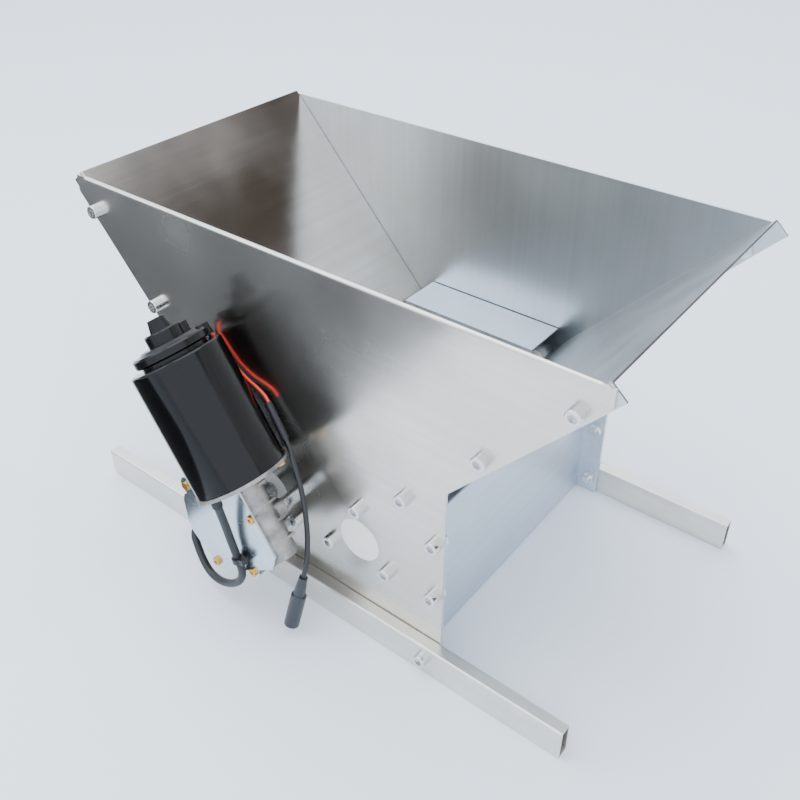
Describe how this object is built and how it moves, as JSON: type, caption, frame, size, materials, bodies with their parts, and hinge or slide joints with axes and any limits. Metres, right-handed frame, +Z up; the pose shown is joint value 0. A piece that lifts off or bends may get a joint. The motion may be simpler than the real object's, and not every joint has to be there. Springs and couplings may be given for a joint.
{
  "type": "grape crusher",
  "caption": "Motor-driven roller grape crusher: an open sheet-steel hopper on foot rails, ribbed crushing rollers geared together, and a worm gearmotor on one side.",
  "frame": {"origin": "bottom centre of the machine, on the ground plane under the middle of its bounding box, free cords left out", "axes": "+X along the foot rails and the hopper's length, +Y from the gearmotor's side to the gears' side, +Z up"},
  "size_m": [0.454, 0.317, 0.2846],
  "materials": {
    "stainless_sheet": "bent stainless sheet, 2B mill finish",
    "stainless_tube": "welded stainless tube",
    "stainless_screw": "cold-headed stainless",
    "stainless_drum": "turned and welded stainless",
    "ground_steel": "ground bright bar",
    "cut_steel": "hobbed steel with light oil",
    "white_nylon": "machined nylon",
    "worm_nylon": "moulded nylon",
    "die_cast": "die-cast aluminium, as cast",
    "zinc_plate": "blue-passivated zinc on pressed steel",
    "gasket_paper": "oiled gasket paper",
    "yellow_zinc": "yellow-passivated zinc on steel",
    "black_paint": "gloss black paint on drawn steel",
    "black_cast": "black powder coat on a casting",
    "sintered_bronze": "oil-filled sintered bronze",
    "laminations": "stacked electrical steel",
    "copper_wire": "enamelled copper wire",
    "commutator_copper": "turned copper bars",
    "ferrite": "pressed ferrite",
    "phenolic": "phenolic board",
    "carbon": "pressed carbon",
    "spring_steel": "spring steel strip",
    "black_rubber": "moulded rubber",
    "red_pvc": "extruded PVC insulation",
    "black_pvc": "extruded PVC insulation",
    "heat_shrink": "heat-shrink tube",
    "connector_plastic": "moulded PVC",
    "woven_sleeve": "braided cable sleeve",
    "tie_nylon": "moulded nylon"
  },
  "bodies": {
    "frame_body": {"near_side_plate": "stainless_sheet", "far_side_plate": "stainless_sheet", "left_hopper_wall": "stainless_sheet", "right_hopper_wall": "stainless_sheet", "left_chute_panel": "stainless_sheet", "right_chute_panel": "stainless_sheet", "gear_guard": "stainless_sheet", "near_foot_rail": "stainless_tube", "far_foot_rail": "stainless_tube", "wall_screws": "stainless_screw", "rail_screws": "stainless_screw", "bearing_screws": "stainless_screw", "wall_nuts": "stainless_screw", "bearing_nuts": "stainless_screw", "guard_screws": "stainless_screw", "gearbox_mount_screws": "stainless_screw", "guard_spacers": "ground_steel", "gearbox_standoffs": "ground_steel", "near_drive_bearing": "white_nylon", "near_driven_bearing": "white_nylon", "far_drive_bearing": "white_nylon", "far_driven_bearing": "white_nylon", "gearbox_housing": "die_cast", "gearbox_gasket": "gasket_paper", "gearbox_cover": "zinc_plate", "cover_screws": "yellow_zinc", "motor_tie_screws": "yellow_zinc", "output_bush": "sintered_bronze", "shaft_bearings": "sintered_bronze", "motor_can": "black_paint", "motor_end_cap": "black_cast", "motor_magnets": "ferrite", "brush_plate": "phenolic", "brushes": "carbon", "brush_springs": "spring_steel", "cable_grommets": "black_rubber", "red_lead": "red_pvc", "black_lead": "black_pvc", "splice_sleeve": "heat_shrink", "power_cord": "black_pvc", "dc_connector": "connector_plastic", "sleeved_cable": "woven_sleeve", "cable_tie": "tie_nylon"},
    "drive_roller_body": {"drive_roller": "stainless_drum", "drive_shaft": "ground_steel", "drive_gear": "cut_steel", "drive_gear_key": "ground_steel", "output_shaft": "ground_steel", "worm_wheel": "worm_nylon", "shaft_coupling": "cut_steel", "drive_pins": "ground_steel"},
    "driven_roller_body": {"driven_roller": "stainless_drum", "driven_shaft": "ground_steel", "driven_gear": "cut_steel", "driven_gear_key": "ground_steel"},
    "armature_body": {"armature_shaft": "ground_steel", "armature_core": "laminations", "armature_windings": "copper_wire", "commutator": "commutator_copper"}
  },
  "joints": [
    {"name": "drive_roller_spin", "type": "hinge", "parent": "frame_body", "child": "drive_roller_body", "pos_m": [-0.0375, 0.0125, 0.0795], "axis": [0, 1, 0], "continuous": true},
    {"name": "driven_roller_spin", "type": "hinge", "parent": "frame_body", "child": "driven_roller_body", "pos_m": [0.0465, 0.0125, 0.0795], "axis": [0, 1, 0], "continuous": true},
    {"name": "armature_spin", "type": "hinge", "parent": "frame_body", "child": "armature_body", "pos_m": [-0.05159, -0.1245, 0.16097], "axis": [-0.5693, 0, 0.8221], "continuous": true}
  ],
  "couplings": [
    {"joint": "driven_roller_spin", "follows": "drive_roller_spin", "ratio": -1},
    {"joint": "armature_spin", "follows": "drive_roller_spin", "ratio": 56}
  ]
}
